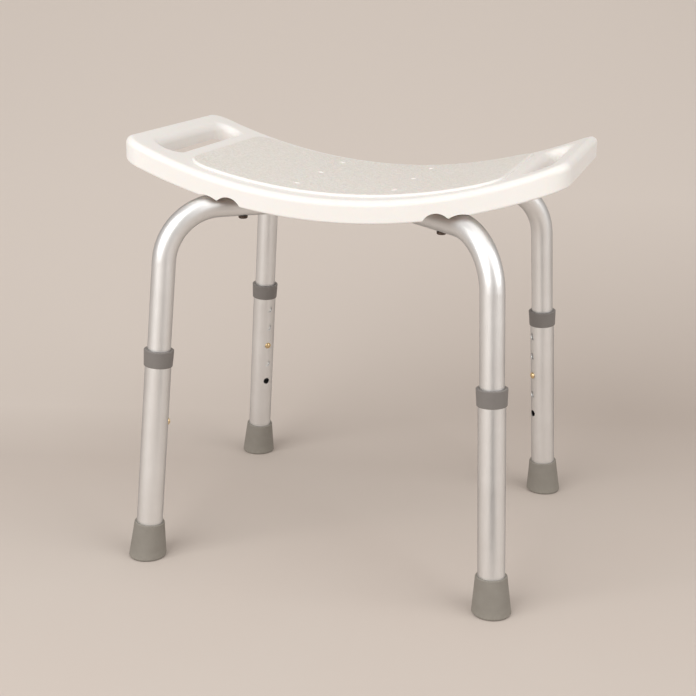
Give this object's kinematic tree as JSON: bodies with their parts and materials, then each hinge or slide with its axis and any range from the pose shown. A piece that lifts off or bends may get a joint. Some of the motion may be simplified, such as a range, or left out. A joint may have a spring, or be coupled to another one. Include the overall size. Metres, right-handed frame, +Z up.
{
  "type": "shower chair",
  "caption": "Backless shower chair: saddle-shaped moulded seat with hand slots on crossed bent tubes, with telescoping splayed legs, snap buttons and rubber feet.",
  "frame": {"origin": "on the floor, below the middle of the seat", "axes": "+X along the seat's length, +Y to the back, +Z up"},
  "size_m": [0.478, 0.3826, 0.462],
  "materials": {
    "seat": "moulded, slightly satin, stippled seat panel",
    "anodised_tube": "satin anodised",
    "collar": "matt",
    "foot": "matt",
    "steel": "bright",
    "button": "polished",
    "rivet": "bright",
    "screw": "dark plated"
  },
  "bodies": {
    "seat_and_frame": {"seat_shell": "seat", "bent_tube_a": "anodised_tube", "bent_tube_b": "anodised_tube", "cross_rivet": "rivet", "seat_screws": "screw", "button_spring_front_left": "steel", "button_spring_front_right": "steel", "button_spring_back_right": "steel", "button_spring_back_left": "steel"},
    "leg_front_left": {"leg_tube_front_left": "anodised_tube", "collar_front_left": "collar", "foot_front_left": "foot", "foot_washer_front_left": "steel"},
    "button_front_left": {"snap_button_front_left": "button"},
    "leg_front_right": {"leg_tube_front_right": "anodised_tube", "collar_front_right": "collar", "foot_front_right": "foot", "foot_washer_front_right": "steel"},
    "button_front_right": {"snap_button_front_right": "button"},
    "leg_back_right": {"leg_tube_back_right": "anodised_tube", "collar_back_right": "collar", "foot_back_right": "foot", "foot_washer_back_right": "steel"},
    "button_back_right": {"snap_button_back_right": "button"},
    "leg_back_left": {"leg_tube_back_left": "anodised_tube", "collar_back_left": "collar", "foot_back_left": "foot", "foot_washer_back_left": "steel"},
    "button_back_left": {"snap_button_back_left": "button"}
  },
  "joints": [
    {"name": "leg_slide_front_left", "type": "slide", "parent": "seat_and_frame", "child": "leg_front_left", "axis": [-0.06, -0.0519, -0.9968], "range_m": [-0.0508, 0.0508], "deforming": ["snap_button_front_left", "button_spring_front_left"]},
    {"name": "button_press_front_left", "type": "slide", "parent": "seat_and_frame", "child": "button_front_left", "axis": [-0.7535, -0.6527, 0.0793], "range_m": [0, 0.0045], "stiffness_N_per_m": 3000, "springref_m": -0.002, "deforming": ["button_spring_front_left"]},
    {"name": "leg_slide_front_right", "type": "slide", "parent": "seat_and_frame", "child": "leg_front_right", "axis": [0.06, -0.0519, -0.9968], "range_m": [-0.0508, 0.0508], "deforming": ["snap_button_front_right", "button_spring_front_right"]},
    {"name": "button_press_front_right", "type": "slide", "parent": "seat_and_frame", "child": "button_front_right", "axis": [0.7535, -0.6527, 0.0793], "range_m": [0, 0.0045], "stiffness_N_per_m": 3000, "springref_m": -0.002, "deforming": ["button_spring_front_right"]},
    {"name": "leg_slide_back_right", "type": "slide", "parent": "seat_and_frame", "child": "leg_back_right", "axis": [0.06, 0.0519, -0.9968], "range_m": [-0.0508, 0.0508], "deforming": ["snap_button_back_right", "button_spring_back_right"]},
    {"name": "button_press_back_right", "type": "slide", "parent": "seat_and_frame", "child": "button_back_right", "axis": [0.7535, 0.6527, 0.0793], "range_m": [0, 0.0045], "stiffness_N_per_m": 3000, "springref_m": -0.002, "deforming": ["button_spring_back_right"]},
    {"name": "leg_slide_back_left", "type": "slide", "parent": "seat_and_frame", "child": "leg_back_left", "axis": [-0.06, 0.0519, -0.9968], "range_m": [-0.0508, 0.0508], "deforming": ["snap_button_back_left", "button_spring_back_left"]},
    {"name": "button_press_back_left", "type": "slide", "parent": "seat_and_frame", "child": "button_back_left", "axis": [-0.7535, 0.6527, 0.0793], "range_m": [0, 0.0045], "stiffness_N_per_m": 3000, "springref_m": -0.002, "deforming": ["button_spring_back_left"]}
  ]
}
